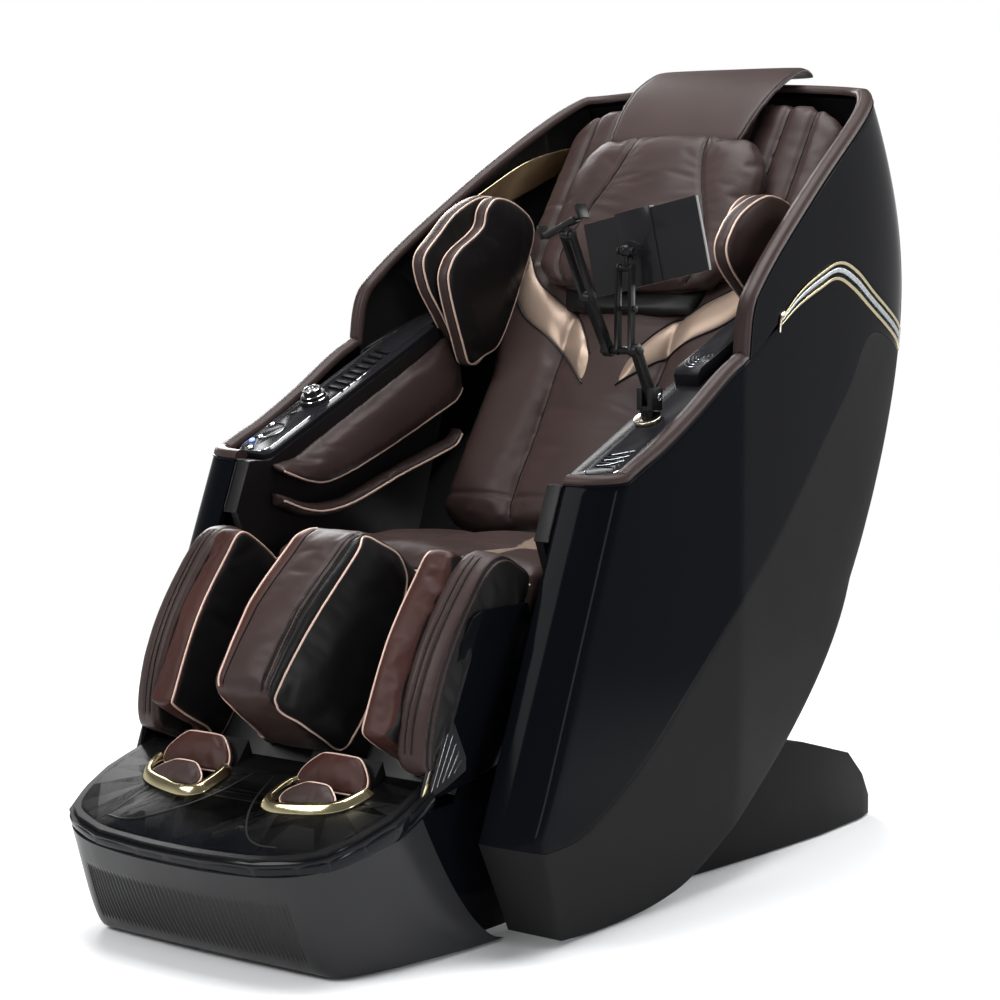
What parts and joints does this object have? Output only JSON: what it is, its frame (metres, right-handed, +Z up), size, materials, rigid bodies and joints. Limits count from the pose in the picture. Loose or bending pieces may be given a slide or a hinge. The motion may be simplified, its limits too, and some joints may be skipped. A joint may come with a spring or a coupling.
{
  "type": "massage chair",
  "caption": "Reclining massage chair with a curved pod shell, airbag arm and calf channels, a swinging leg rest with foot rings, and a swivel holder for a tablet and a phone.",
  "frame": {"origin": "underside of the floor pad between the base runners", "axes": "+Z up; the sitter faces -Y; the sitter's left is +X"},
  "size_m": [0.8233, 1.6307, 1.2973],
  "materials": {
    "gloss_shell": "gloss",
    "matte_shell": "satin",
    "brown_leather": "satin",
    "dark_leather": "satin",
    "rose_leather": "metallic satin",
    "gold_trim": "polished",
    "frame_steel": "satin",
    "chrome_trim": "polished",
    "black_plastic": "satin",
    "tablet_glass": "gloss"
  },
  "bodies": {
    "base": {"base_frame": "frame_steel", "base_cover": "matte_shell", "glide_feet": "black_plastic", "slide_rails": "frame_steel", "power_inlet": "matte_shell"},
    "wheels": {"transport_wheels": "black_plastic"},
    "carriage": {"slide_carriage": "frame_steel", "recline_motor": "black_plastic"},
    "pod": {"pod_frame": "frame_steel", "wing_panel_left": "gloss_shell", "wing_panel_right": "gloss_shell", "side_panel_left": "gloss_shell", "side_panel_right": "gloss_shell", "skirt_left": "matte_shell", "skirt_right": "matte_shell", "back_cover": "matte_shell", "leather_rim": "brown_leather", "chevron_trims": "gold_trim", "side_linings": "dark_leather", "arm_liners": "brown_leather", "console_left": "gloss_shell", "console_right": "gloss_shell", "charger_pad": "matte_shell", "key_bars": "chrome_trim", "seat_cushion": "brown_leather", "back_cushion": "brown_leather", "back_inserts": "rose_leather", "head_pillow": "brown_leather", "pillow_flap": "brown_leather", "shoulder_airbags": "brown_leather", "arm_airbags": "brown_leather", "speakers": "gold_trim", "back_track": "frame_steel", "air_pump": "black_plastic", "control_box": "matte_shell", "holder_ring": "gold_trim"},
    "massage_carriage": {"massage_carriage": "matte_shell"},
    "massage_rollers": {"massage_rollers": "black_plastic"},
    "control_knob": {"control_knob": "chrome_trim"},
    "button_1": {"button_1": "chrome_trim"},
    "button_2": {"button_2": "chrome_trim"},
    "button_3": {"button_3": "chrome_trim"},
    "button_4": {"button_4": "chrome_trim"},
    "leg_rest": {"leg_frame": "frame_steel", "calf_bolster_left": "brown_leather", "calf_bolster_right": "brown_leather", "calf_centre": "brown_leather", "leg_side_covers": "gloss_shell"},
    "foot_housing": {"foot_tray": "gloss_shell", "foot_skirt": "matte_shell", "foot_rings": "gold_trim", "sole_pads": "dark_leather"},
    "foot_rollers": {"foot_rollers": "black_plastic"},
    "holder_post": {"holder_post": "black_plastic"},
    "holder_link": {"holder_link": "black_plastic"},
    "tablet_arm": {"tablet_arm": "chrome_trim"},
    "tablet": {"tablet": "tablet_glass"},
    "phone_arm": {"phone_arm": "black_plastic"},
    "phone_clamp": {"phone_clamp": "black_plastic"},
    "clamp_jaw": {"clamp_jaw": "chrome_trim"}
  },
  "joints": [
    {"name": "carriage_slide", "type": "slide", "parent": "base", "child": "carriage", "axis": [0, -1, 0], "range_m": [0, 0.12]},
    {"name": "pod_recline", "type": "hinge", "parent": "carriage", "child": "pod", "pos_m": [0, 0.2, 0.33], "axis": [-1, 0, 0], "range_deg": [0, 30]},
    {"name": "leg_swing", "type": "hinge", "parent": "pod", "child": "leg_rest", "pos_m": [0, -0.318, 0.52], "axis": [-1, 0, 0], "range_deg": [0, 57]},
    {"name": "foot_slide", "type": "slide", "parent": "leg_rest", "child": "foot_housing", "axis": [0, -0.5446, -0.8387], "range_m": [0, 0.09]},
    {"name": "foot_roller_spin", "type": "hinge", "parent": "foot_housing", "child": "foot_rollers", "pos_m": [0, -0.57923, 0.21356], "axis": [1, 0, 0], "continuous": true},
    {"name": "massage_travel", "type": "slide", "parent": "pod", "child": "massage_carriage", "axis": [0, 0.5505, 0.8348], "range_m": [0, 0.6]},
    {"name": "massage_spin", "type": "hinge", "parent": "massage_carriage", "child": "massage_rollers", "pos_m": [0, 0.31765, 0.5715], "axis": [1, 0, 0], "continuous": true},
    {"name": "wheel_spin", "type": "hinge", "parent": "base", "child": "wheels", "pos_m": [0, 0.606, 0.029], "axis": [1, 0, 0], "continuous": true},
    {"name": "knob_turn", "type": "hinge", "parent": "pod", "child": "control_knob", "pos_m": [-0.338, -0.04782, 0.73443], "axis": [0, -0.4067, 0.9135], "continuous": true},
    {"name": "button_1_press", "type": "slide", "parent": "pod", "child": "button_1", "axis": [0, 0.4067, -0.9135], "range_m": [0, 0.002], "stiffness_N_per_m": 400, "springref_m": -0.0005},
    {"name": "button_2_press", "type": "slide", "parent": "pod", "child": "button_2", "axis": [0, 0.4067, -0.9135], "range_m": [0, 0.002], "stiffness_N_per_m": 400, "springref_m": -0.0005},
    {"name": "button_3_press", "type": "slide", "parent": "pod", "child": "button_3", "axis": [0, 0.4067, -0.9135], "range_m": [0, 0.002], "stiffness_N_per_m": 400, "springref_m": -0.0005},
    {"name": "button_4_press", "type": "slide", "parent": "pod", "child": "button_4", "axis": [0, 0.4067, -0.9135], "range_m": [0, 0.002], "stiffness_N_per_m": 400, "springref_m": -0.0005},
    {"name": "holder_swivel", "type": "hinge", "parent": "pod", "child": "holder_post", "pos_m": [0.322, -0.04691, 0.73484], "axis": [0, -0.4067, 0.9135], "range_deg": [-70, 90]},
    {"name": "link_pitch", "type": "hinge", "parent": "holder_post", "child": "holder_link", "pos_m": [0.322, -0.04, 0.77], "axis": [1, 0, 0], "range_deg": [-22, 26]},
    {"name": "tablet_arm_pitch", "type": "hinge", "parent": "holder_link", "child": "tablet_arm", "pos_m": [0.322, -0.0805, 0.84015], "axis": [1, 0, 0], "range_deg": [-35, 35]},
    {"name": "tablet_tilt", "type": "hinge", "parent": "tablet_arm", "child": "tablet", "pos_m": [0.302, -0.0805, 0.98815], "axis": [1, 0, 0], "range_deg": [-25, 25]},
    {"name": "phone_arm_pitch", "type": "hinge", "parent": "holder_link", "child": "phone_arm", "pos_m": [0.322, -0.0805, 0.84015], "axis": [1, 0, 0], "range_deg": [-25, 30]},
    {"name": "phone_clamp_tilt", "type": "hinge", "parent": "phone_arm", "child": "phone_clamp", "pos_m": [0.271, -0.1845, 1.01215], "axis": [1, 0, 0], "range_deg": [-30, 30]},
    {"name": "clamp_jaw_slide", "type": "slide", "parent": "phone_clamp", "child": "clamp_jaw", "axis": [0.9135, 0, 0.4067], "range_m": [-0.008, 0.02]}
  ],
  "couplings": [
    {"joint": "carriage_slide", "follows": "pod_recline", "m_per_rad": 0.229},
    {"joint": "foot_slide", "follows": "leg_swing", "m_per_rad": 0.0904}
  ]
}
